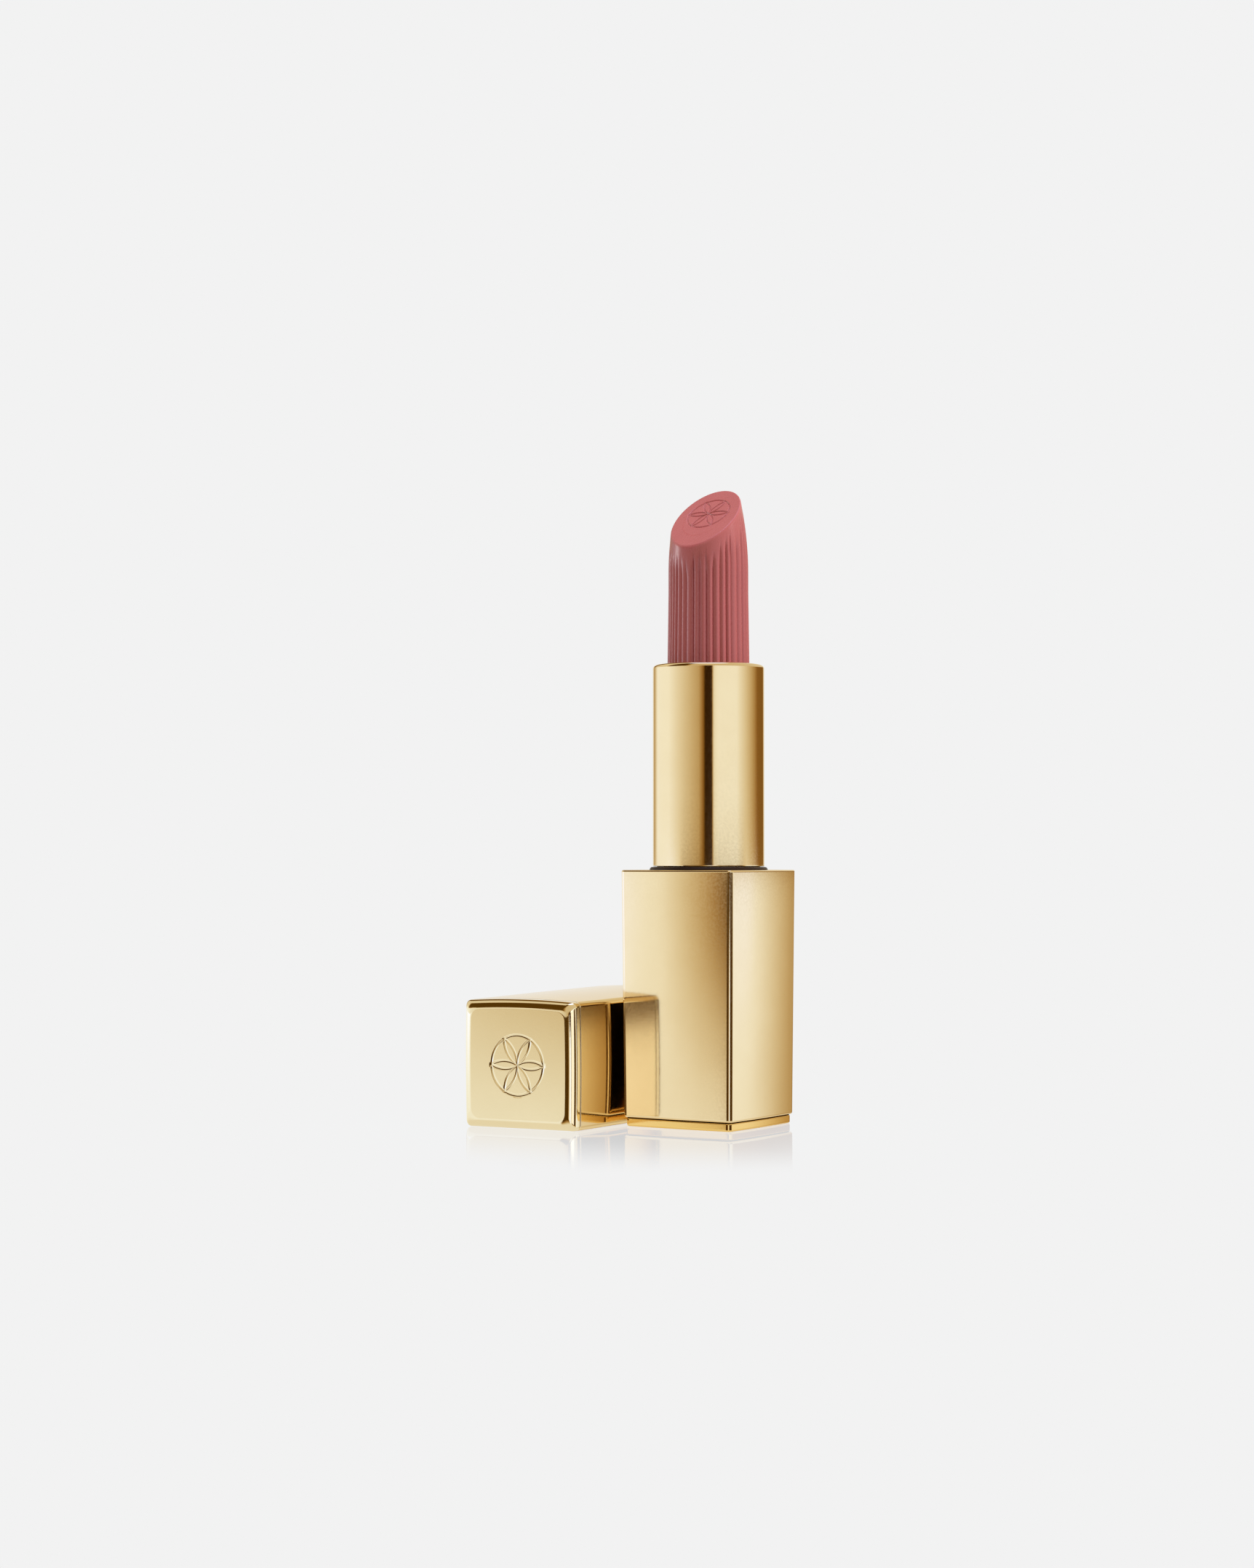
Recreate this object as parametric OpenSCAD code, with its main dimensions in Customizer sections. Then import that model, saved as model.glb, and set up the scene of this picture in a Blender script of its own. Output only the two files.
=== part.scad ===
// Square twist-up lipstick case with its cap lying beside it.
// Millimetres, +Z up. The origin is the middle of the foot's underside.
// The lipstick stands fully wound out; the cap lies on one of its sides.

/* [Base] */
// Width across the flats at the top of the base
base_top_w = 20.12; // [20:0.02:21]
// Width across the flats at the lower edge of the base
base_low_w = 19.48; // [19.3:0.02:20]
// Height of the base, foot included
base_h = 39.58; // [39:0.1:42]
// Radius of the upright corners, base and cap
corner_r = 0.8; // [0.6:0.1:1.2]
// Width of the foot plate
foot_w = 18.92; // [18.6:0.02:19.2]
// Visible height of the foot plate
foot_h = 1.25; // [1:0.05:1.5]
// Open line between the foot plate and the shell
seam = 0.15; // [0.1:0.05:0.25]

/* [Turning tube] */
// Outer radius of the turning tube
tube_r = 8.62; // [8.6:0.02:8.8]
// Height of the tube's lip above the floor
tube_top = 72; // [72:0.1:73]
// Radius of the rounded lip
lip_round = 0.7; // [0.4:0.1:0.9]

/* [Mechanism] */
// How far the bullet travels
travel = 27.8; // [26:0.1:28]
// Turn that winds the bullet from end to end, degrees
turn = 540; // [450:90:720]
// Radius of the two lugs on the cup
lug_r = 1; // [0.8:0.1:1.1]
// Play beside a lug in its slot
lug_play = 0.2; // [0.15:0.05:0.3]

/* [Bullet] */
// Radius of the bullet where it leaves the tube
bullet_r = 6.38; // [6.2:0.02:6.4]
// Height at which the slanted face meets the axis
slant_z = 95.65; // [94:0.1:96]
// Slope of the slanted face, degrees from level
slant_angle = 44.2; // [30:1:50]

/* [Cap] */
// Length of the cap
cap_l = 42; // [41:0.5:45]
// Width across the flats at the closed end
cap_end_w = 19.6; // [19.5:0.02:20.1]
// Direction the open end points, degrees from +X
cap_turn = 93.45; // [90:0.5:100]
// Place of the middle of the closed end, across and along the base
cap_x = -20.34; // [-24:0.1:-20.3]
cap_y = -23.06; // [-30:0.1:-10]
// Length of the separate end plate
end_plate_l = 2.05; // [1.6:0.05:2.4]
// Radius of the end plate's front edge
end_round = 0.85; // [0.5:0.05:1]

/* [Hidden] */
$fn = 96;

slab = 0.01;
cut = 1;
gold = "goldenrod";

// Base
shell_low = foot_h + seam;
shell_in = 9.3;
edge = 0.12;
press = 0.03;
inner_corner = 0.4;
foot_round = 0.3;
spigot_top = 3.4;
label_r = 5.9;
label_t = 0.12;
deck_low = base_h - 0.98;
deck_t = 0.9;
liner_low = 6;
liner_top = deck_low - 0.05;
weight_top = 18;
weight_r = 6.5;

// Mechanism
cup_out = 6.66;
cup_in = 6.3;
fork_in = 6.72;
fork_out = 7.25;
spiral_in = 7.31;
spiral_out = 8.05;
tube_in = 8.07;
collar_r = 9.22;
collar_top = base_h + 0.68;
tube_low = collar_top + 0.1;
cup_top = tube_top - 1;
cup_low = cup_top - 9;
lug_z = cup_low + 1.2;
lug_reach = 7.85;
lug_gap = lug_r + lug_play;
park_z = lug_z - travel;
spiral_low = park_z - 2.4;
spiral_top = tube_top - 0.9;
flange_low = spiral_low - 1.8;
flange_top = spiral_low - 0.3;
plug_low = flange_low - 6;
bearing_r = 8.75;
plug_r = 7.6;
spline_r = 7.9;
spline_n = 12;
lip_in = 6.75;

// Helical slots: the lugs climb with the turning tube
rise_per_deg = travel / turn;
helix_over = lug_gap + 0.1;
helix_low = park_z - helix_over;
helix_h = travel + 2 * helix_over;
helix_mid_r = (spiral_in + spiral_out) / 2;
helix_slope = atan(rise_per_deg * 180 / (PI * helix_mid_r));
helix_half = lug_gap / sin(helix_slope) / helix_mid_r * 180 / PI;
helix_slices = 80;

// Bullet
nose_z = 81.3;
nose_arc = 75;
bullet_end = 104;
bullet_plug_z = cup_low + 1;

// Cap, built standing on its closed end and then laid down
mouth_w = base_top_w;
cap_tilt = atan((mouth_w - cap_end_w) / 2 / cap_l);
cap_in = 9.4;
plate_spigot = 4.6;
liner_floor = plate_spigot + 0.2;
liner_bore_low = liner_floor + 0.8;
liner_end = cap_l - 1.1;
cap_bore = 8.75;
grip_z = cap_l - 6;
grip_h = 1.2;
grip_in = 8.66;
grip_out = 9.03;
rosette_r = 4.6;
rosette_line = 0.26;
rosette_deep = 0.12;

function arc(cx, cy, r, from, to, steps) =
    [for (i = [0:steps]) let (a = from + (to - from) * i / steps) [cx + r * cos(a), cy + r * sin(a)]];

// Half width of the base's tapered outside at height z
function base_half(z) = (base_low_w + (base_top_w - base_low_w) * (z - shell_low) / (base_h - shell_low)) / 2;

// Half width of the cap's tapered outside, t from its closed end
function cap_half(t) = (cap_end_w + (mouth_w - cap_end_w) * t / cap_l) / 2;

module rounded_square(half, r) {
    square([2 * half, 2 * (half - r)], center = true);
    square([2 * (half - r), 2 * half], center = true);
    for (x = [-1, 1], y = [-1, 1])
        translate([x * (half - r), y * (half - r)])
            circle(r);
}

// Square block with rounded corners, from z0 to z1
module block(half, r, z0, z1) {
    translate([0, 0, z0])
        linear_extrude(z1 - z0)
            rounded_square(half, r);
}

// Square block from the floor up, its corners and its lower edge rounded
module soft_block(half, r, soft, h) {
    reach = half - r;
    lower_edge = arc(r - soft, soft, soft, -90, 0, 4);
    for (x = [-1, 1], y = [-1, 1])
        translate([x * reach, y * reach])
            rotate_extrude()
                polygon(concat([[0, 0]], lower_edge, [[r, h], [0, h]]));
    for (side = [0:90:270])
        rotate([90, 0, side])
            linear_extrude(2 * reach, center = true)
                polygon(concat([[0, 0]], [for (p = lower_edge) p + [reach, 0]], [[half, h], [0, h]]));
}

// Thin square slab for the corners of a hull
module slab_at(half, r, z) {
    for (x = [-1, 1], y = [-1, 1])
        translate([x * (half - r), y * (half - r), z])
            cylinder(r = r, h = slab, $fn = 32);
}

module ring(r_in, r_out, z0, z1) {
    difference() {
        translate([0, 0, z0])
            cylinder(r = r_out, h = z1 - z0);
        translate([0, 0, z0 - cut])
            cylinder(r = r_in, h = z1 - z0 + 2 * cut);
    }
}

// Six-petal rosette of drawn circles, from z = 0 up
module rosette(r, depth) {
    intersection() {
        cylinder(r = r, h = depth);
        union() {
            for (a = [0:60:300])
                rotate([0, 0, a])
                    translate([r, 0, 0])
                        ring(r - rosette_line / 2, r + rosette_line / 2, 0, depth);
            ring(r - rosette_line, r + cut, 0, depth);
        }
    }
}

module base_shell() {
    color(gold)
        difference() {
            hull() {
                slab_at(base_half(shell_low) - edge, corner_r - edge, shell_low);
                slab_at(base_half(shell_low + edge), corner_r, shell_low + edge);
                slab_at(base_half(base_h - edge), corner_r, base_h - edge - slab);
                slab_at(base_half(base_h) - edge, corner_r - edge, base_h - slab);
            }
            block(shell_in, inner_corner, shell_low - cut, base_h + cut);
        }
}

module base_deck() {
    color(gold)
        difference() {
            block(shell_in - press, inner_corner, deck_low, deck_low + deck_t);
            translate([0, 0, deck_low - cut])
                cylinder(r = spiral_out + 0.15, h = deck_t + 2 * cut);
        }
}

module base_plate() {
    color(gold)
        difference() {
            union() {
                soft_block(foot_w / 2, corner_r, foot_round, foot_h);
                block(shell_in - press, inner_corner, foot_h - 0.2, spigot_top);
            }
            translate([0, 0, -cut])
                cylinder(r = label_r + 0.1, h = label_t + cut);
        }
}

module bottom_label() {
    color("white")
        cylinder(r = label_r, h = label_t);
}

module weight_pad() {
    color("dimgray")
        block(weight_r, inner_corner, spigot_top, liner_low);
}

module base_weight() {
    color("slategray")
        translate([0, 0, liner_low])
            cylinder(r = weight_r, h = weight_top - liner_low);
}

module base_liner() {
    color("black")
        difference() {
            block(shell_in - press, inner_corner, liner_low, liner_top);
            translate([0, 0, liner_low - cut])
                cylinder(r = weight_r + 0.05, h = weight_top - liner_low + cut);
            translate([0, 0, plug_low])
                cylinder(r = spline_r + press, h = liner_top - plug_low + cut);
            translate([0, 0, flange_low])
                cylinder(r = bearing_r, h = liner_top - flange_low + cut);
        }
}

module collar() {
    color("black")
        rotate_extrude()
            polygon([[spiral_out + 0.1, deck_low + 0.1], [spiral_out + 0.1, collar_top],
                     [collar_r - edge, collar_top], [collar_r, collar_top - edge],
                     [collar_r, base_h], [spiral_out + 0.13, base_h], [spiral_out + 0.13, deck_low + 0.1]]);
}

module fork() {
    slot_low = park_z - lug_gap;
    slot_h = travel + 2 * lug_gap;
    color("ivory")
        difference() {
            union() {
                translate([0, 0, plug_low])
                    cylinder(r = fork_out, h = cup_top - 0.1 - plug_low);
                translate([0, 0, plug_low])
                    cylinder(r = plug_r, h = flange_low - plug_low);
                translate([0, 0, flange_low])
                    cylinder(r = bearing_r - press, h = flange_top - flange_low);
                for (i = [0:spline_n - 1])
                    rotate([0, 0, i * 360 / spline_n])
                        translate([plug_r - 0.5, -0.4, plug_low])
                            cube([spline_r - plug_r + 0.5, 0.8, flange_low - plug_low]);
            }
            translate([0, 0, plug_low + 1.2])
                cylinder(r = fork_in, h = tube_top);
            translate([-fork_out - cut, -lug_gap, slot_low])
                cube([2 * (fork_out + cut), 2 * lug_gap, slot_h]);
        }
}

module retainer_ring() {
    color("silver")
        ring(spiral_out + 0.1, bearing_r, spiral_low + 1.3, spiral_low + 2.3);
}

module brake_ring() {
    color("firebrick")
        ring(spiral_out + 0.05, bearing_r, spiral_low + 2.5, spiral_low + 3.7);
}

module tube_shell() {
    round_z = tube_top - lip_round;
    lip_t = 0.65;
    inner_round = 0.25;
    color(gold)
        rotate_extrude()
            polygon(concat(
                [[tube_in, tube_low], [tube_r - edge, tube_low], [tube_r, tube_low + edge]],
                arc(tube_r - lip_round, round_z, lip_round, 0, 90, 6),
                arc(lip_in + inner_round, tube_top - inner_round, inner_round, 90, 180, 3),
                [[lip_in, tube_top - lip_t], [tube_in, tube_top - lip_t]]));
}

// One helical slot, cut right through the sleeve's wall
module helical_slot() {
    arc_steps = 5;
    near = spiral_in - 0.3;
    far = spiral_out + 0.3;
    translate([0, 0, helix_low])
        rotate([0, 0, (lug_z - helix_low) / rise_per_deg])
            linear_extrude(helix_h, twist = helix_h / rise_per_deg, slices = helix_slices, $fn = 12)
                polygon(concat(arc(0, 0, far, -helix_half, helix_half, arc_steps),
                               arc(0, 0, near, helix_half, -helix_half, arc_steps)));
}

module spiral() {
    flange_t = 1;
    color("whitesmoke")
        difference() {
            union() {
                ring(spiral_in, spiral_out, spiral_low, spiral_top);
                ring(spiral_in, bearing_r - 0.15, spiral_low, spiral_low + flange_t);
            }
            helical_slot();
            rotate([0, 0, 180])
                helical_slot();
        }
}

module cup() {
    color("whitesmoke") {
        ring(cup_in, cup_out, cup_low, cup_top);
        translate([0, 0, cup_low])
            cylinder(r = cup_out, h = 0.9);
        for (side = [0, 180])
            rotate([0, 0, side])
                translate([cup_in + 0.05, 0, lug_z])
                    rotate([0, 90, 0])
                        cylinder(r = lug_r, h = lug_reach - cup_in - 0.05, $fn = 48);
    }
}

module bullet() {
    nose_steps = 16;
    mark_r = 3.5;
    color("palevioletred")
        difference() {
            rotate_extrude()
                polygon(concat(
                    [[0, bullet_plug_z], [cup_in - 0.02, bullet_plug_z], [cup_in - 0.02, cup_top],
                     [bullet_r, cup_top]],
                    [for (i = [0:nose_steps])
                        let (z = nose_z + (bullet_end - nose_z) * i / nose_steps)
                            [bullet_r - pow(z - nose_z, 2) / (2 * nose_arc), z]],
                    [[0, bullet_end]]));
            translate([0, 0, slant_z])
                rotate([slant_angle, 0, 0]) {
                    translate([-20, -20, 0])
                        cube([40, 40, 30]);
                    translate([0, 0, -rosette_deep])
                        rosette(mark_r, rosette_deep + cut);
                }
        }
}

// Lays the cap on its side, its lower wall flat on the floor
module laid() {
    translate([cap_x, cap_y, cap_half(0) * cos(cap_tilt)])
        rotate([0, 0, cap_turn - 90])
            rotate([cap_tilt - 90, 0, 0])
                children();
}

module cap_shell() {
    shell_z = end_plate_l + seam;
    color(gold)
        laid()
            difference() {
                hull() {
                    slab_at(cap_half(shell_z) - edge, corner_r - edge, shell_z);
                    slab_at(cap_half(shell_z + edge), corner_r, shell_z + edge);
                    slab_at(cap_half(cap_l - edge), corner_r, cap_l - edge - slab);
                    slab_at(cap_half(cap_l) - edge, corner_r - edge, cap_l - slab);
                }
                block(cap_in, inner_corner, shell_z - cut, cap_l + cut);
            }
}

module cap_end_plate() {
    front = cap_half(0);
    steps = 5;
    wall = 1.2;
    color(gold)
        laid()
            difference() {
                union() {
                    hull() {
                        for (i = [0:steps])
                            let (a = i * 90 / steps, inset = end_round * (1 - sin(a)))
                                slab_at(front - inset, max(corner_r - inset, 0.1), end_round * (1 - cos(a)));
                        slab_at(cap_half(end_plate_l) - edge, corner_r - edge, end_plate_l - slab);
                        slab_at(cap_half(end_plate_l - edge), corner_r, end_plate_l - edge);
                    }
                    block(cap_in - press, inner_corner, end_plate_l - 0.5, plate_spigot);
                }
                block(cap_in - wall, inner_corner, 1.3, plate_spigot + cut);
                translate([0, 0, rosette_deep])
                    mirror([0, 0, 1])
                        rosette(rosette_r, rosette_deep + cut);
            }
}

module cap_weight() {
    color("slategray")
        laid()
            block(8.15, inner_corner, 1.35, plate_spigot);
}

module cap_liner() {
    color("black")
        laid()
            difference() {
                block(cap_in - press, inner_corner, liner_floor, liner_end);
                translate([0, 0, liner_bore_low])
                    cylinder(r = cap_bore, h = cap_l);
                translate([0, 0, grip_z])
                    cylinder(r = grip_out + 0.02, h = grip_h + 0.04);
            }
}

module cap_grip_ring() {
    color("dimgray")
        laid()
            ring(grip_in, grip_out, grip_z + 0.02, grip_z + grip_h + 0.02);
}

base_shell();
base_deck();
base_plate();
base_liner();
base_weight();
weight_pad();
bottom_label();
collar();
fork();
retainer_ring();
brake_ring();
tube_shell();
spiral();
cup();
bullet();
cap_shell();
cap_end_plate();
cap_liner();
cap_weight();
cap_grip_ring();
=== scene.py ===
"""Looks for the square twist-up lipstick case and its cap. Lengths are millimetres until a mesh is made."""
import math
import random

import bpy
from mathutils import Matrix, Vector


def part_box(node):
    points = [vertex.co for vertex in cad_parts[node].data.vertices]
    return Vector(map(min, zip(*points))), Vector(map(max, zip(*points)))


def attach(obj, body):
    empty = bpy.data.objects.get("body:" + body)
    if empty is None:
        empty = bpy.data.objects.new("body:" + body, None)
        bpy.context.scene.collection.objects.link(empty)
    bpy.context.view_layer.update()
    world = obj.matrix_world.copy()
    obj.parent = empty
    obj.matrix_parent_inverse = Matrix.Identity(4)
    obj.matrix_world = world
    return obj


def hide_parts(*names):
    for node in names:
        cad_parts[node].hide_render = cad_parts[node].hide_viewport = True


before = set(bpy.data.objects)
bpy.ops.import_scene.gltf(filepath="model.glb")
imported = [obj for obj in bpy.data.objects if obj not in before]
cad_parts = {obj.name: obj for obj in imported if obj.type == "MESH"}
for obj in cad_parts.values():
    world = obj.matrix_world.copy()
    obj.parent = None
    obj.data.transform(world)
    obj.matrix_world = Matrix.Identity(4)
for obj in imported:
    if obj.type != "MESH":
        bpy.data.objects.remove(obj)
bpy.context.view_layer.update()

MM = 0.001
TAU = 2 * math.pi

# Sizes in millimetres. Those read from the frame keep to the CAD nodes; a few differ slightly for the looks.
BASE_LOW_HALF = 9.74
BASE_TOP_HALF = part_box("base_shell")[1].x / MM
BASE_LOW_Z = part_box("base_shell")[0].z / MM
BASE_TOP_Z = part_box("base_shell")[1].z / MM
BASE_LIP = 0.1
SHELL_IN = 9.3
CORNER_R = 0.8
INNER_CORNER = 0.4
FOOT_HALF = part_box("base_plate")[1].x / MM
FOOT_H = 1.25
SPIGOT_HALF = 9.27
SPIGOT_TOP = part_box("base_plate")[1].z / MM
LABEL_R = 6.0
LABEL_T = 0.12
TUBE_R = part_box("tube_shell")[1].x / MM + 0.12
TUBE_IN = 8.07
TUBE_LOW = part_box("tube_shell")[0].z / MM - 0.14
TUBE_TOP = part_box("tube_shell")[1].z / MM - 0.3
LIP_ROUND = 0.6
LIP_IN = 6.75
LIP_T = 0.65
LIP_IN_ROUND = 0.25
TUBE_FOOT_ROUND = 0.12
COLLAR_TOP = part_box("collar")[1].z / MM - 0.12
COLLAR_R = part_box("collar")[1].x / MM
COLLAR_IN = 8.15
COLLAR_ROUND = 0.42
COLLAR_DEEP = 0.9
BULLET_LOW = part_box("bullet")[0].z / MM
CUP_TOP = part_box("cup")[1].z / MM
CUP_FIT_R = 6.28
BULLET_LOW_R = 6.43
BULLET_HIGH_R = 6.26
TAPER_Z = 83.0
NOSE_Z = 86.0
NOSE_ARC = 55.0
SLANT_Z = 95.51
SLANT = math.radians(42.4)
CAP_L = 42.0
CAP_END_HALF = 9.8
CAP_MOUTH_HALF = 10.06
CAP_TURN = 93.45
CAP_AT = (-20.34, -23.06)
PLATE_L = 2.05
PLATE_ROUND = 1.4
CAP_SEAM = 0.15
CAP_IN = 9.4
PLATE_SPIGOT = 4.6
PLATE_WALL = 1.2
PLATE_FLOOR = 1.3
LEAST_R = 0.1


# ---------------------------------------------------------------- mesh helpers

def make_object(name, verts, faces, sharp=40.0, painted_shade=()):
    mesh = bpy.data.meshes.new(name)
    mesh.from_pydata([Vector(v) * MM for v in verts], [], faces)
    for index in painted_shade:
        mesh.polygons[index].material_index = 1
    mesh.update()
    mesh.polygons.foreach_set("use_smooth", [True] * len(mesh.polygons))
    mesh.set_sharp_from_angle(angle=math.radians(sharp))
    obj = bpy.data.objects.new(name, mesh)
    bpy.context.scene.collection.objects.link(obj)
    return obj


def loft(name, rings, closed=False, start=None, end=None, sharp=40.0, painted_shade=()):
    """Surface through rings of equal length. start and end are the points that close it.
    The spans between rings listed for the seam take the piece's second material, painted shade in the seam
    gap."""
    count = len(rings[0])
    verts = [p for ring in rings for p in ring]
    faces = []
    spans = len(rings) if closed else len(rings) - 1
    for i in range(spans):
        a, b = i * count, (i + 1) % len(rings) * count
        faces += [(a + j, a + (j + 1) % count, b + (j + 1) % count, b + j) for j in range(count)]
    if start is not None:
        verts.append(start)
        tip = len(verts) - 1
        faces += [((j + 1) % count, j, tip) for j in range(count)]
    if end is not None:
        verts.append(end)
        tip = len(verts) - 1
        last = (len(rings) - 1) * count
        faces += [(last + j, last + (j + 1) % count, tip) for j in range(count)]
    marked = [span * count + j for span in painted_shade for j in range(count)]
    return make_object(name, verts, faces, sharp, marked)


def section(half, r, slopes=(0, 0, 0, 0), n_face=16, n_corner=10):
    """Square outline with round corners, counterclockwise from the -Y side.
    Each side bulges so that it meets its corners at its slope, in degrees."""
    points = []
    support = 0.03
    for side in range(4):
        b0 = math.radians(slopes[side])
        b1 = math.radians(slopes[(side + 1) % 4])
        reach = half - r + r * math.sin(b0)
        low = -(half - r) - r * math.cos(b0)
        bulge = reach * math.tan(b0) / 2
        steps = [-1, -1 + support / reach] + [-1 + 2 * i / n_face for i in range(1, n_face)]
        steps += [1 - support / reach, 1]
        flat = [(reach * s, low - bulge * (1 - s * s)) for s in steps]
        for i in range(1, n_corner):
            a = -math.pi / 2 + b0 + (math.pi / 2 - b0 - b1) * i / n_corner
            flat.append((half - r + r * math.cos(a), -(half - r) + r * math.sin(a)))
        c, s = math.cos(side * math.pi / 2), math.sin(side * math.pi / 2)
        points += [(x * c - y * s, x * s + y * c) for x, y in flat]
    return points


def circle(r, n):
    return [(r * math.cos(TAU * i / n), r * math.sin(TAU * i / n)) for i in range(n)]


def at_height(points, z):
    return [(x, y, z) for x, y in points]


def edge_steps(z0, z1, e_low, e_high, between=1):
    """(height, inset) pairs up an outer wall whose two edges are rounded."""
    n = 6
    support = 0.05
    out = []
    for i in range(n + 1):
        a = math.pi / 2 * i / n
        out.append((z0 + e_low * (1 - math.cos(a)), e_low * (1 - math.sin(a))))
    out.append((z0 + e_low + support, 0))
    for i in range(1, between + 1):
        out.append((z0 + (z1 - z0) * i / (between + 1), 0))
    out.append((z1 - e_high - support, 0))
    for i in range(n + 1):
        a = math.pi / 2 * i / n
        out.append((z1 - e_high * (1 - math.sin(a)), e_high * (1 - math.cos(a))))
    return out


def square_shell(name, z0, z1, half_at, half_in, slopes, e_low, e_high):
    """Open square tube with crowned outer faces and a closed solid wall."""
    rings = []
    for z, inset in edge_steps(z0, z1, e_low, e_high):
        rings.append(at_height(section(half_at(z) - inset, max(CORNER_R - inset, LEAST_R), slopes), z))
    inner = section(half_in, INNER_CORNER)
    soft = 0.06
    wide = section(half_in + soft, INNER_CORNER + soft)
    rings += [at_height(wide, z1), at_height(inner, z1 - soft), at_height(inner, z1 - 2 * soft)]
    rings += [at_height(inner, z0 + soft), at_height(wide, z0)]
    return loft(name, rings, closed=True)


def revolve(name, profile, n=160, sharp=40.0):
    """Closed ring of revolution about Z. profile is a closed loop of (radius, height)."""
    return loft(name, [at_height(circle(r, n), z) for r, z in profile], closed=True, sharp=sharp)


def arc(cx, cy, r, a0, a1, n):
    out = []
    for i in range(n + 1):
        a = math.radians(a0 + (a1 - a0) * i / n)
        out.append((cx + r * math.cos(a), cy + r * math.sin(a)))
    return out


def rosette_depth(x, y, radius, line, deep):
    """Depth of the engraved six-petal rosette at a point: arcs of six circles inside an outer ring."""
    d = math.hypot(x, y)
    if d > radius + line:
        return 0.0
    gap = abs(d - radius)
    for k in range(6):
        a = math.pi / 3 * k
        off = abs(math.hypot(x - radius * math.cos(a), y - radius * math.sin(a)) - radius)
        gap = min(gap, off)
    near = max(0.0, 1 - gap / line)
    return deep * near * near * (3 - 2 * near)


# ---------------------------------------------------------------- materials

class Graph:
    """Short names for adding and linking shader nodes."""

    def __init__(self, tree):
        self.tree = tree
        tree.nodes.clear()

    def add(self, kind, **values):
        n = self.tree.nodes.new(kind)
        for key, value in values.items():
            setattr(n, key, value)
        return n

    def plug(self, value, socket):
        if isinstance(value, bpy.types.NodeSocket):
            self.tree.links.new(value, socket)
        else:
            socket.default_value = value

    def math(self, operation, *values, clamp=False):
        n = self.add("ShaderNodeMath", operation=operation, use_clamp=clamp)
        for value, socket in zip(values, n.inputs):
            self.plug(value, socket)
        return n.outputs[0]

    def fade(self, value, low, high, to_low=0.0, to_high=1.0):
        n = self.add("ShaderNodeMapRange", interpolation_type="SMOOTHSTEP")
        for value_in, key in ((value, "Value"), (low, "From Min"), (high, "From Max"),
                              (to_low, "To Min"), (to_high, "To Max")):
            self.plug(value_in, n.inputs[key])
        return n.outputs["Result"]

    def ramp(self, value, stops):
        n = self.add("ShaderNodeValToRGB")
        elements = n.color_ramp.elements
        while len(elements) > 1:
            elements.remove(elements[0])
        elements[0].position, elements[0].color = stops[0][0], (*stops[0][1], 1)
        for position, colour in stops[1:]:
            elements.new(position).color = (*colour, 1)
        self.plug(value, n.inputs["Fac"])
        return n.outputs["Color"]

    def mix(self, factor, a, b):
        n = self.add("ShaderNodeMix", data_type="RGBA")
        self.plug(factor, n.inputs["Factor"])
        self.plug(a, n.inputs[6])
        self.plug(b, n.inputs[7])
        return n.outputs[2]


def noise(g, scale, detail=3.0, stretch=(1, 1, 1)):
    """Noise on the piece's own coordinates; scale is in features per metre."""
    where = g.add("ShaderNodeTexCoord").outputs["Object"]
    if stretch != (1, 1, 1):
        mapping = g.add("ShaderNodeMapping")
        mapping.inputs["Scale"].default_value = stretch
        g.plug(where, mapping.inputs["Vector"])
        where = mapping.outputs["Vector"]
    n = g.add("ShaderNodeTexNoise")
    g.plug(where, n.inputs["Vector"])
    n.inputs["Scale"].default_value = scale
    n.inputs["Detail"].default_value = detail
    return n.outputs["Fac"]


def surface(name, light, dark, rough, metallic=0.0, tone_scale=150.0, grain_scale=3000.0,
            bump=0.02, stretch=(1, 1, 1), **sockets):
    """Principled material: two tones mixed by a broad noise, roughness and bump by a fine one."""
    m = bpy.data.materials.new(name)
    m.use_nodes = True
    g = Graph(m.node_tree)
    out = g.add("ShaderNodeOutputMaterial")
    shader = g.add("ShaderNodeBsdfPrincipled")
    g.plug(shader.outputs[0], out.inputs["Surface"])
    broad = noise(g, tone_scale, 3.0, stretch)
    grain = noise(g, grain_scale, 2.0, stretch)
    g.plug(g.mix(g.fade(broad, 0.3, 0.7), (*dark, 1), (*light, 1)), shader.inputs["Base Color"])
    g.plug(g.fade(grain, 0.25, 0.75, rough[0], rough[1]), shader.inputs["Roughness"])
    relief = g.add("ShaderNodeBump")
    relief.inputs["Strength"].default_value = bump
    relief.inputs["Distance"].default_value = 0.02 * MM
    g.plug(grain, relief.inputs["Height"])
    g.plug(relief.outputs["Normal"], shader.inputs["Normal"])
    shader.inputs["Metallic"].default_value = metallic
    for key, value in sockets.items():
        shader.inputs[key.replace("_", " ")].default_value = value
    return m


GOLD = surface("pale_gold_polished", (0.94, 0.77, 0.47), (0.92, 0.745, 0.445), (0.07, 0.10), 1.0)
GOLD_CAP = surface("pale_gold_cap", (0.94, 0.77, 0.47), (0.92, 0.745, 0.445), (0.06, 0.09), 1.0,
                   Specular_Tint=(0.93, 0.82, 0.62, 1))
# The end plate's gold is paler than the shell's: a painted highlight for the brighter reflection on the cap's
# end face.
GOLD_END_PAINTED_HIGHLIGHT = surface("pale_gold_end_painted_highlight", (0.98, 0.86, 0.58), (0.965, 0.845, 0.565), (0.06, 0.09), 1.0)
GOLD_FOOT = surface("warm_gold_polished", (0.95, 0.65, 0.23), (0.93, 0.63, 0.21), (0.08, 0.12), 1.0)
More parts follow.
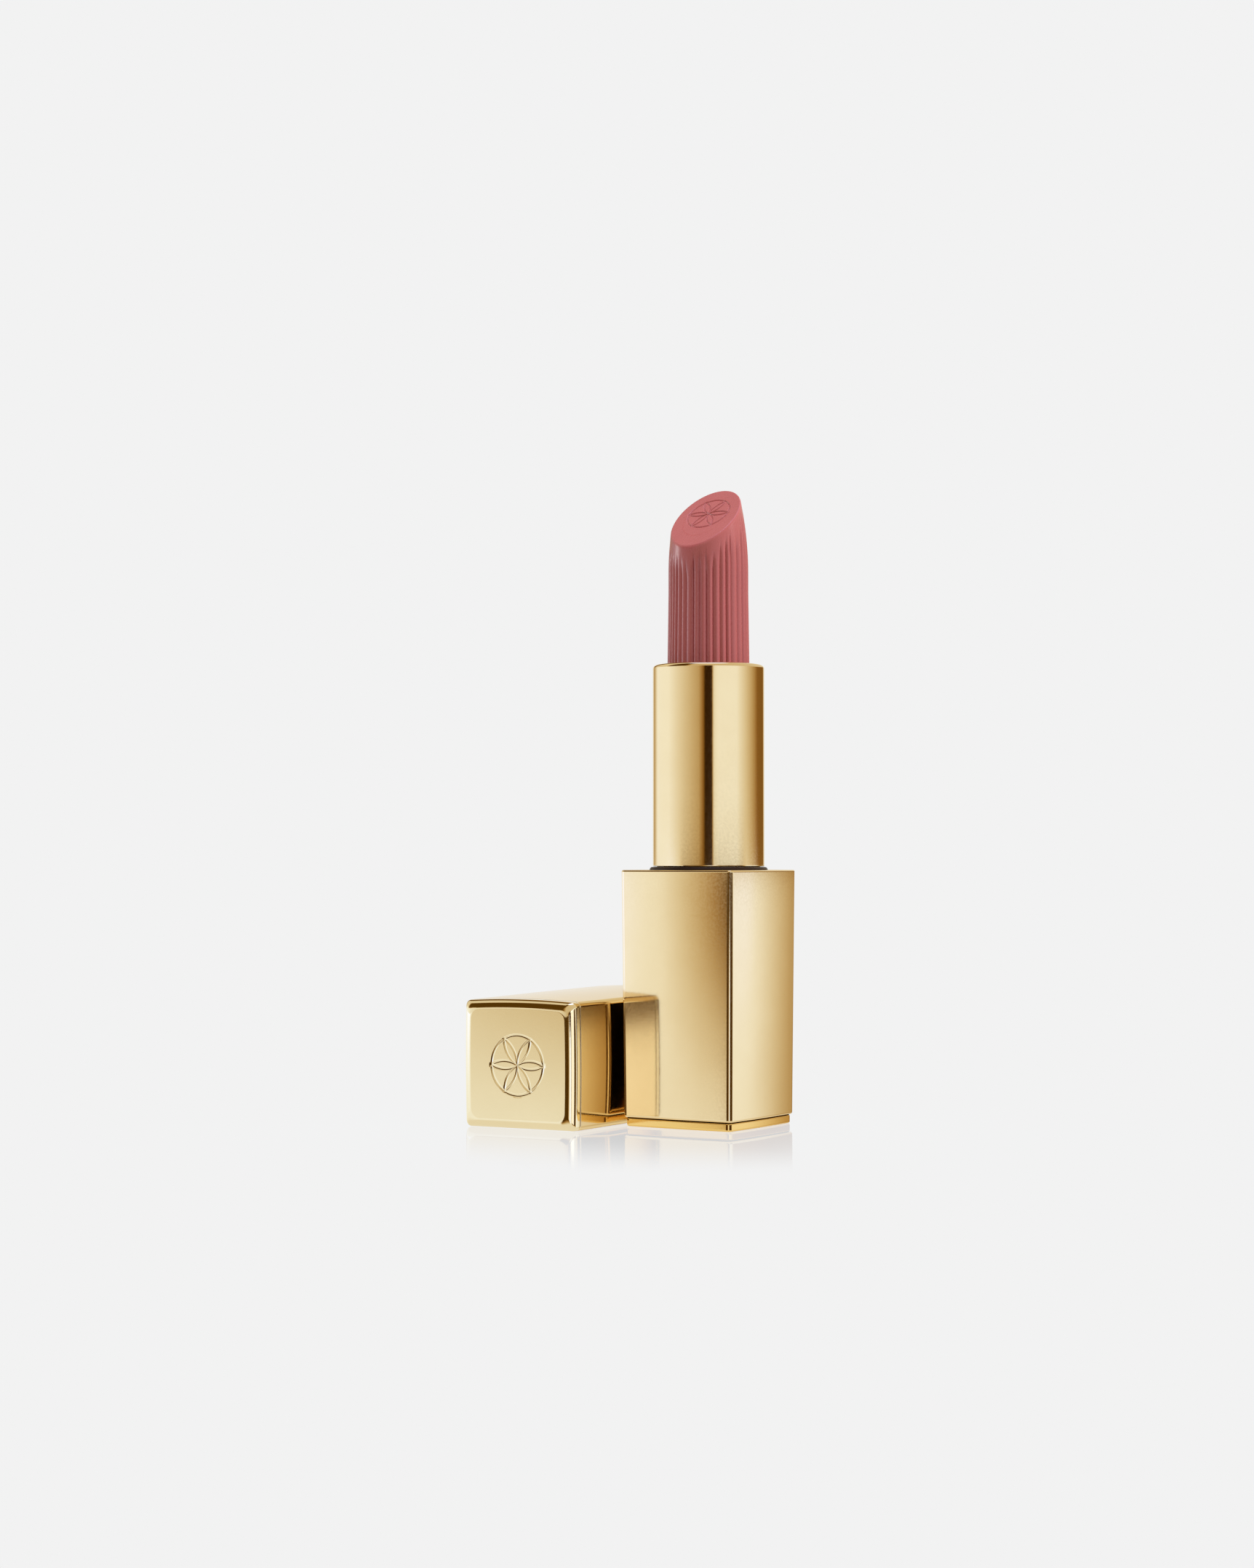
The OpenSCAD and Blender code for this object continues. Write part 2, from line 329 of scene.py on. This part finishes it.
# Painted shade: the gold spigot faces in the seam gaps take this near-black paint in place of the shadow
# there.
SEAM_PAINTED_SHADE = surface("shadowed_seam", (0.010, 0.006, 0.003), (0.006, 0.004, 0.002), (0.6, 0.8), bump=0.1,
                     Specular_IOR_Level=0.1)
UMBER = surface("dark_umber_plastic", (0.020, 0.008, 0.005), (0.014, 0.006, 0.004), (0.35, 0.45), bump=0.1,
                Specular_IOR_Level=0.22)
ROSE = surface("dusty_rose_wax", (0.475, 0.125, 0.134), (0.455, 0.117, 0.126), (0.25, 0.30), 0.0,
               tone_scale=260.0, grain_scale=2600.0, bump=0.002, stretch=(1, 1, 0.25),
               Specular_IOR_Level=0.55)
BLACK = surface("black_moulded_plastic", (0.016, 0.014, 0.013), (0.010, 0.009, 0.008), (0.28, 0.38), 0.0,
                bump=0.1)
IVORY = surface("ivory_moulded_plastic", (0.72, 0.69, 0.60), (0.68, 0.65, 0.56), (0.34, 0.44), bump=0.1)
WHITE = surface("white_moulded_plastic", (0.80, 0.80, 0.78), (0.75, 0.75, 0.73), (0.30, 0.40), bump=0.1)
STEEL = surface("turned_steel", (0.52, 0.51, 0.50), (0.44, 0.43, 0.42), (0.26, 0.36), 1.0, bump=0.2)
RUBBER = surface("grey_elastomer", (0.085, 0.085, 0.09), (0.06, 0.06, 0.065), (0.55, 0.7), bump=0.2)
RED_RING = surface("red_elastomer", (0.42, 0.05, 0.04), (0.34, 0.04, 0.03), (0.45, 0.6), bump=0.2)
PAPER = surface("blank_paper_label", (0.80, 0.78, 0.72), (0.72, 0.70, 0.64), (0.6, 0.75),
                tone_scale=900.0, bump=0.3)


def paint(obj, material):
    slots = [face.material_index for face in obj.data.polygons]
    obj.data.materials.clear()
    obj.data.materials.append(material)
    obj.data.polygons.foreach_set("material_index", slots)


def fit(obj, body, node, material, painted_shade=None):
    """A finished piece: it takes its material, rides on its body and hides the CAD node it stands for."""
    paint(obj, material)
    # a second material given here is painted shade for the seam faces
    if painted_shade:
        obj.data.materials.append(painted_shade)
    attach(obj, body)
    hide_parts(node)


# ---------------------------------------------------------------- base

CROWN = 3.5
ALL_SIDES = (CROWN, CROWN, CROWN, CROWN)


def base_half(z):
    return BASE_LOW_HALF + (BASE_TOP_HALF - BASE_LOW_HALF) * (z - BASE_LOW_Z) / (BASE_TOP_Z - BASE_LOW_Z)


base_skin = square_shell("base_sleeve", BASE_LOW_Z, BASE_TOP_Z + BASE_LIP, base_half, SHELL_IN, ALL_SIDES,
                         e_low=0.35, e_high=0.28)
fit(base_skin, "base", "base_shell", GOLD)


def build_foot():
    rings = []
    label = [(LABEL_R * math.cos(math.atan2(y, x)), LABEL_R * math.sin(math.atan2(y, x)))
             for x, y in section(FOOT_HALF, CORNER_R)]
    rings.append(at_height(label, LABEL_T))
    rings.append(at_height(label, 0))
    for z, inset in edge_steps(0, FOOT_H, e_low=0.3, e_high=0.14, between=0):
        rings.append(at_height(section(FOOT_HALF - inset, CORNER_R - inset, ALL_SIDES), z))
    neck = section(SPIGOT_HALF, INNER_CORNER)
    # the neck faces just above the foot take the second material: painted shade in the seam under the shell
    seam = (len(rings) - 1, len(rings))
    rings += [at_height(neck, FOOT_H), at_height(neck, SPIGOT_TOP)]
    return loft("foot_plate", rings, start=(0, 0, LABEL_T), end=(0, 0, SPIGOT_TOP), painted_shade=seam)


fit(build_foot(), "base", "base_plate", GOLD_FOOT, SEAM_PAINTED_SHADE)

collar_profile = [(COLLAR_IN, BASE_TOP_Z - COLLAR_DEEP), (COLLAR_IN + 0.06, COLLAR_TOP)]
collar_profile += arc(COLLAR_R - COLLAR_ROUND, COLLAR_TOP - COLLAR_ROUND, COLLAR_ROUND, 90, 0, 6)
collar_profile += [(COLLAR_R, BASE_TOP_Z), (COLLAR_IN + 0.04, BASE_TOP_Z)]
collar_profile += [(COLLAR_IN + 0.04, BASE_TOP_Z - COLLAR_DEEP)]
fit(revolve("collar_ring", collar_profile), "base", "collar", UMBER)

# ---------------------------------------------------------------- turning tube

tube_profile = [(TUBE_IN, TUBE_LOW)]
tube_profile += arc(TUBE_R - TUBE_FOOT_ROUND, TUBE_LOW + TUBE_FOOT_ROUND, TUBE_FOOT_ROUND, -90, 0, 4)
tube_profile += [(TUBE_R, TUBE_LOW + 0.2), (TUBE_R, (TUBE_LOW + TUBE_TOP) / 2)]
tube_profile += [(TUBE_R, TUBE_TOP - LIP_ROUND - 0.05)]
tube_profile += arc(TUBE_R - LIP_ROUND, TUBE_TOP - LIP_ROUND, LIP_ROUND, 0, 90, 10)
tube_profile += arc(LIP_IN + LIP_IN_ROUND, TUBE_TOP - LIP_IN_ROUND, LIP_IN_ROUND, 90, 180, 5)
tube_profile += [(LIP_IN, TUBE_TOP - LIP_T), (TUBE_IN, TUBE_TOP - LIP_T)]
fit(revolve("tube_sleeve", tube_profile), "sleeve", "tube_shell", GOLD)


# ---------------------------------------------------------------- bullet

RIBS = 38
RIB_DEEP = 0.32
RIB_FADE = 3.6
FACE_ROSETTE = {"radius": 3.5, "line": 0.19, "deep": 0.17}
RIB_STEPS = (0, 0.05, 0.14, 0.26, 0.38, 0.5, 0.62, 0.74, 0.86, 0.95)


def bullet_radius(z):
    taper = min(1.0, (z - CUP_TOP) / (TAPER_Z - CUP_TOP))
    over = max(0.0, z - NOSE_Z)
    return BULLET_LOW_R + (BULLET_HIGH_R - BULLET_LOW_R) * taper - over * over / (2 * NOSE_ARC)


def cut_height(angle):
    """Height at which the slanted face meets the side of the bullet."""
    z = SLANT_Z
    for _ in range(24):
        z = SLANT_Z + bullet_radius(z) * math.sin(angle) * math.tan(SLANT)
    return z


def smooth(x):
    x = min(1.0, max(0.0, x))
    return x * x * (3 - 2 * x)


def build_bullet():
    rng = random.Random(11)
    widths = [rng.uniform(0.72, 1.28) for _ in range(RIBS)]
    deeps = [rng.uniform(0.75, 1.15) for _ in range(RIBS)]
    starts = [rng.uniform(0.4, 2.2) for _ in range(RIBS)]
    total = sum(widths)
    columns = []
    a = 0.0
    for w, deep, start in zip(widths, deeps, starts):
        for u in RIB_STEPS:
            angle = (a + w * u) / total * TAU
            columns.append((angle, deep * (1 - 4 * u * (1 - u)), start, cut_height(angle)))
        a += w
    rings = []
    for r, z in ((CUP_FIT_R - 0.2, BULLET_LOW), (CUP_FIT_R, BULLET_LOW + 0.2), (CUP_FIT_R, CUP_TOP - 0.02)):
        rings.append([(r * math.cos(c[0]), r * math.sin(c[0]), z) for c in columns])
    low, rows = CUP_TOP, 64
    edge = 0.22
    for i in range(rows + 1):
        t = i / rows
        ring = []
        for angle, hollow, start, top in columns:
            z = low + (top - edge - low) * t
            below = top - z
            depth = RIB_DEEP * hollow * smooth((below - start) / RIB_FADE)
            r = bullet_radius(z) - depth
            ring.append((r * math.cos(angle), r * math.sin(angle), z))
        rings.append(ring)
    for i in range(1, 6):
        a = math.pi / 2 * i / 5
        inset, drop = edge * (1 - math.cos(a)), edge * (1 - math.sin(a))
        ring = []
        for angle, hollow, start, top in columns:
            r = bullet_radius(top) - inset
            x, y = r * math.cos(angle), r * math.sin(angle)
            ring.append((x, y, SLANT_Z + y * math.tan(SLANT) - drop))
        rings.append(ring)
    rim = rings[-1]
    steps = [1 - 0.02 * i for i in range(1, 16)]
    steps += [0.70 * (1 - i / 58) for i in range(0, 58)]
    for f in steps:
        ring = []
        for x, y, z in rim:
            fx, fy = x * f, y * f
            sink = rosette_depth(fx, fy / math.cos(SLANT), **FACE_ROSETTE)
            face_z = SLANT_Z + fy * math.tan(SLANT)
            ring.append((fx, fy + sink * math.sin(SLANT), face_z - sink * math.cos(SLANT)))
        rings.append(ring)
    return loft("wax_bullet", rings, start=(0, 0, BULLET_LOW), end=(0, 0, SLANT_Z), sharp=60.0)


wax = build_bullet()
fit(wax, "elevator", "bullet", ROSE)

# ---------------------------------------------------------------- cap

CAP_TILT = math.atan((CAP_MOUTH_HALF - CAP_END_HALF) / CAP_L)
WALL_CROWN = 1.5
CAP_SIDES = (CROWN, WALL_CROWN, 0, WALL_CROWN)
CAP_BOW = 0.45
CAP_ROSETTE = {"radius": 4.6, "line": 0.2, "deep": 0.06}


def cap_half(t):
    return CAP_END_HALF + (CAP_MOUTH_HALF - CAP_END_HALF) * t / CAP_L


def lay(obj):
    """Bows the side walls, then turns a cap piece onto its side where the CAD cap lies."""
    for vertex in obj.data.vertices:
        along = vertex.co.z / MM / CAP_L
        vertex.co.x *= 1 + 4 * CAP_BOW * along * (1 - along) / CAP_END_HALF
    place = Matrix.Translation(Vector((CAP_AT[0], CAP_AT[1], CAP_END_HALF * math.cos(CAP_TILT))) * MM)
    place = place @ Matrix.Rotation(math.radians(CAP_TURN - 90), 4, "Z")
    place = place @ Matrix.Rotation(CAP_TILT - math.pi / 2, 4, "X")
    obj.data.transform(place)
    return obj


cap_skin = square_shell("cap_sleeve", PLATE_L + CAP_SEAM, CAP_L, cap_half, CAP_IN, CAP_SIDES,
                        e_low=0.14, e_high=0.18)
fit(lay(cap_skin), "cap", "cap_shell", GOLD_CAP)


def build_end_plate():
    dense = {"slopes": CAP_SIDES, "n_face": 64, "n_corner": 10}
    front = CAP_END_HALF
    rings = []
    inner = section(CAP_IN - PLATE_WALL, INNER_CORNER, n_face=64)
    spigot = section(CAP_IN - 0.03, INNER_CORNER, n_face=64)
    rings += [at_height(inner, PLATE_FLOOR), at_height(inner, PLATE_SPIGOT), at_height(spigot, PLATE_SPIGOT)]
    rings += [at_height(spigot, PLATE_L)]
    soft = 0.1
    for i in range(5):
        a = math.pi / 2 * i / 4
        inset = soft * (1 - math.sin(a))
        rings.append(at_height(section(cap_half(PLATE_L) - inset, CORNER_R - inset, **dense),
                               PLATE_L - soft * (1 - math.cos(a))))
    rings.append(at_height(section(cap_half(PLATE_L), CORNER_R, **dense), PLATE_L - soft - 0.05))
    rings.append(at_height(section(front, CORNER_R, **dense), PLATE_ROUND + 0.05))
    n = 10
    for i in range(n + 1):
        a = math.pi / 2 * i / n
        inset = PLATE_ROUND * (1 - math.cos(a))
        rings.append(at_height(section(front - inset, CORNER_R + 0.5 * inset, **dense),
                               PLATE_ROUND * (1 - math.sin(a))))
    face = section(front - PLATE_ROUND, CORNER_R + 0.5 * PLATE_ROUND, **dense)
    rings.append(at_height([(x * 0.994, y * 0.994) for x, y in face], 0))
    steps = [0.94, 0.85, 0.75, 0.66, 0.60] + [0.57 * (1 - i / 76) for i in range(0, 76)]
    for f in steps:
        rings.append([(x * f, y * f, rosette_depth(x * f, y * f, **CAP_ROSETTE)) for x, y in face])
    # spans 2 and 3, the spigot wall and the step under the shell, take the second material: painted shade in
    # the seam
    return loft("cap_end", rings, start=(0, 0, PLATE_FLOOR), end=(0, 0, 0), painted_shade=(2, 3))


cap_end = lay(build_end_plate())
fit(cap_end, "cap", "cap_end_plate", GOLD_END_PAINTED_HIGHLIGHT, SEAM_PAINTED_SHADE)

# ---------------------------------------------------------------- carried-over CAD nodes

CAD_FINISH = {
    "base_deck": GOLD, "base_liner": BLACK, "base_weight": STEEL, "weight_pad": RUBBER,
    "bottom_label": PAPER, "fork": IVORY, "retainer_ring": STEEL, "brake_ring": RED_RING,
    "spiral": WHITE, "cup": WHITE, "cap_liner": BLACK, "cap_weight": STEEL, "cap_grip_ring": RUBBER,
}
for node_name, finish in CAD_FINISH.items():
    paint(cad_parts[node_name], finish)

# ---------------------------------------------------------------- camera

CAMERA_AT = Vector((231.29, -384.40, 41.924)) * MM
CAMERA_TURN = math.radians(32.665)
CAMERA_RISE = math.radians(1.4286)
cam_data = bpy.data.cameras.new("camera")
cam_data.sensor_width = 36.0
cam_data.lens = 65.83
cam_data.clip_start = 0.01
cam = bpy.data.objects.new("camera", cam_data)
bpy.context.scene.collection.objects.link(cam)
cam.location = CAMERA_AT
cam.rotation_euler = (math.pi / 2 + CAMERA_RISE, 0, CAMERA_TURN)
bpy.context.scene.camera = cam

# ---------------------------------------------------------------- floor

BACKDROP = 0.888
SHEEN = 0.30
SHEEN_REACH = 0.048


def build_floor():
    rings = [at_height(circle(r, 64), 0) for r in (600.0, 300.0, 150.0, 60.0)]
    floor = loft("studio_floor", [list(reversed(ring)) for ring in rings], end=(0, 0, 0))
    m = bpy.data.materials.new("pale_floor")
    m.use_nodes = True
    g = Graph(m.node_tree)
    out = g.add("ShaderNodeOutputMaterial")
    where = g.add("ShaderNodeSeparateXYZ")
    g.plug(g.add("ShaderNodeTexCoord").outputs["Object"], where.inputs[0])
    # distance from a rounded rectangle under the case and the cap
    centre, reach = (-0.009, -0.006), (0.019, 0.016)
    gaps = []
    for axis in range(2):
        off = g.math("ABSOLUTE", g.math("SUBTRACT", where.outputs[axis], centre[axis]))
        gaps.append(g.math("MAXIMUM", g.math("SUBTRACT", off, reach[axis]), 0.0))
    squares = [g.math("MULTIPLY", gap, gap) for gap in gaps]
    distance = g.math("SQRT", g.math("ADD", *squares))
    # the sheen is strong along the surface and faint from above
    facing = g.add("ShaderNodeLayerWeight").outputs["Facing"]
    weight = g.math("MULTIPLY", g.fade(distance, 0.0, SHEEN_REACH, SHEEN, 0.0),
                    g.fade(facing, 0.78, 0.92, 0.0, 1.0))
    mirror = g.add("ShaderNodeBsdfGlossy")
    mirror.inputs["Color"].default_value = (1, 1, 1, 1)
    mirror.inputs["Roughness"].default_value = 0.03
    clear = g.add("ShaderNodeBsdfTransparent")
    mixed = g.add("ShaderNodeMixShader")
    g.plug(weight, mixed.inputs[0])
    g.plug(clear.outputs[0], mixed.inputs[1])
    g.plug(mirror.outputs[0], mixed.inputs[2])
    g.plug(mixed.outputs[0], out.inputs["Surface"])
    paint(floor, m)
    floor.visible_glossy = False
    floor.visible_diffuse = False
    floor.visible_shadow = False


build_floor()

# ---------------------------------------------------------------- studio light

VIEW_AZIMUTH = math.radians(-58.97)
# A plain studio of broad cards, as (degrees right of the camera's side, brightness) with even fades between.
# Level with the tube: a softbox on the left, a dark flag beside the camera, a softbox on the right.
HIGH_RING = ((-180, 0.9), (-165, 0.9), (-150, 0.3), (-130, 1.0), (-90, 1.0), (-20, 0.4), (-7, 0.01),
             (7, 0.01), (11, 0.9), (20, 1.0), (60, 1.0), (120, 0.12), (150, 0.1), (165, 0.9), (180, 0.9))
# Low down: a softbox on each side with a dark flag between them.
LOW_RING = ((-180, 0.9), (-150, 1.0), (-80, 1.3), (-65, 0.95), (-55, 0.03), (75, 0.03), (85, 1.0), (115, 1.1),
            (130, 0.15), (165, 0.9), (180, 0.9))
# Overhead: two dark flags.
UPPER_RING = ((-180, 0.7), (-165, 0.05), (-150, 0.05), (-140, 0.65), (-98, 0.65), (-90, 0.04), (-48, 0.04),
              (-38, 0.5), (100, 0.6), (180, 0.7))
LOW_CARD = 1.1
TABLE_LEFT, TABLE_RIGHT = 0.93, 0.2
ZENITH = 1.25
UNDERSIDE = 0.76
DIFFUSE_LOSS = 0.28
PEAK = 1.45


def build_world():
    world = bpy.data.worlds.new("soft_studio")
    bpy.context.scene.world = world
    world.use_nodes = True
    g = Graph(world.node_tree)
    out = g.add("ShaderNodeOutputWorld")
    way = g.add("ShaderNodeSeparateXYZ")
    g.plug(g.add("ShaderNodeTexCoord").outputs["Generated"], way.inputs[0])
    azimuth = g.math("ARCTAN2", way.outputs[1], way.outputs[0])
    turns = g.math("DIVIDE", g.math("SUBTRACT", azimuth, VIEW_AZIMUTH), TAU)
    wrapped = g.math("FRACT", g.math("ADD", turns, 1.5))
    side = g.math("MULTIPLY", g.math("SUBTRACT", wrapped, 0.5), 360.0)
    rise = g.math("DEGREES", g.math("ARCSINE", way.outputs[2]))

    def cards(stops):
        low, high = stops[0][0], stops[-1][0]
        grey = [((angle - low) / (high - low), (level / PEAK,) * 3) for angle, level in stops]
        place = g.math("DIVIDE", g.math("SUBTRACT", side, low), high - low)
        return g.math("MULTIPLY", g.ramp(place, grey), PEAK)

    def blend(a, b, k):
        return g.math("ADD", g.math("MULTIPLY", a, g.math("SUBTRACT", 1.0, k)), g.math("MULTIPLY", b, k))

    low_ring = cards(LOW_RING)
    # a low light card near the middle of the flag
    card = g.math("MULTIPLY", g.fade(side, -16.0, 4.0), g.fade(side, 16.0, 20.0, 1.0, 0.0))
    low_ring = blend(low_ring, LOW_CARD, g.math("MULTIPLY", card, g.fade(rise, -3.2, -2.7, 1.0, 0.0)))
    # the pale table lightens what lies low, apart from the flag
    flag = g.math("MULTIPLY", g.fade(side, -55.0, -53.0), g.fade(side, 99.0, 101.0, 1.0, 0.0))
    nearby = g.math("SUBTRACT", g.fade(rise, -7.5, -1.0, 1.0, 0.0), flag, clamp=True)
    low_ring = blend(low_ring, g.fade(side, 112.0, 132.0, TABLE_LEFT, TABLE_RIGHT), nearby)
    ring = blend(low_ring, cards(HIGH_RING), g.fade(rise, -1.0, -0.3))
    # the overhead flags start higher behind the case
    behind = g.fade(g.math("ABSOLUTE", side), 154.0, 166.0)
    dark = blend(g.fade(rise, 8.0, 13.0), g.fade(rise, 16.0, 30.0), behind)
    ring = blend(ring, cards(UPPER_RING), dark)
    ring = blend(ring, ZENITH, g.fade(rise, 66.0, 72.0))
    level = blend(UNDERSIDE, ring, g.fade(rise, -30.0, -12.0))
    # dim light is warmer than bright light
    red = g.math("MULTIPLY", g.math("POWER", level, g.fade(level, 0.0, 0.15, 0.76, 0.62)), 0.95)
    over = g.math("MULTIPLY", g.math("MAXIMUM", g.math("SUBTRACT", level, 1.0), 0.0), 1.4)
    blue = g.math("ADD", g.math("MULTIPLY", g.math("POWER", level, 1.75), 1.08), over)
    tint = g.add("ShaderNodeCombineColor")
    for value, socket in zip((red, level, blue), tint.inputs):
        g.plug(value, socket)
    studio = g.add("ShaderNodeBackground")
    g.plug(tint.outputs[0], studio.inputs["Color"])
    path = g.add("ShaderNodeLightPath")
    # matt surfaces are lit less by the room than by the softboxes
    loss = g.math("MULTIPLY", path.outputs["Is Diffuse Ray"], DIFFUSE_LOSS)
    g.plug(g.math("SUBTRACT", 1.0, loss), studio.inputs["Strength"])
    backdrop = g.add("ShaderNodeBackground")
    backdrop.inputs["Color"].default_value = (BACKDROP, BACKDROP, BACKDROP, 1)
    pick = g.add("ShaderNodeMixShader")
    g.plug(path.outputs["Is Camera Ray"], pick.inputs[0])
    g.plug(studio.outputs[0], pick.inputs[1])
    g.plug(backdrop.outputs[0], pick.inputs[2])
    g.plug(pick.outputs[0], out.inputs["Surface"])


def area_light(name, target, turn, rise, distance, size, radiance, mirrored=False, only=None):
    """A rectangle of light aimed at target, turn degrees right of the camera and rise degrees up.
    Polished metal mirrors it only if mirrored is set. With only, it lights that one piece."""
    a, e = VIEW_AZIMUTH + math.radians(turn), math.radians(rise)
    way = Vector((math.cos(a) * math.cos(e), math.sin(a) * math.cos(e), math.sin(e)))
    data = bpy.data.lights.new(name, "AREA")
    data.shape = "RECTANGLE"
    data.size, data.size_y = size
    data.energy = radiance * math.pi * size[0] * size[1]
    light = bpy.data.objects.new(name, data)
    light.location = Vector(target) * MM + way * distance
    light.rotation_euler = (-way).to_track_quat("-Z", "Y").to_euler()
    light.visible_glossy = mirrored
    light.visible_camera = False
    if only:
        group = bpy.data.collections.new(name + "_receiver")
        group.objects.link(only)
        light.light_linking.receiver_collection = group
    bpy.context.scene.collection.objects.link(light)


build_world()
BULLET_AT = (0, 0, 85)
CAP_EDGE_AT = (-10.6, -23, 10)
area_light("key_softbox", BULLET_AT, 80, 20, 0.5, (0.16, 0.16), 22.0)
area_light("top_softbox", BULLET_AT, -31, 80, 0.5, (0.16, 0.16), 24.0)
area_light("edge_softbox", BULLET_AT, 76, 26, 0.5, (0.10, 0.10), 2.0, True, wax)
area_light("left_strip", BULLET_AT, -105, 12, 0.5, (0.10, 0.14), 6.0, True, wax)
area_light("cap_edge_card", CAP_EDGE_AT, 38, -5, 0.08, (0.047, 0.04), 1.0, True, cap_end)
bpy.context.scene.view_settings.view_transform = "Standard"
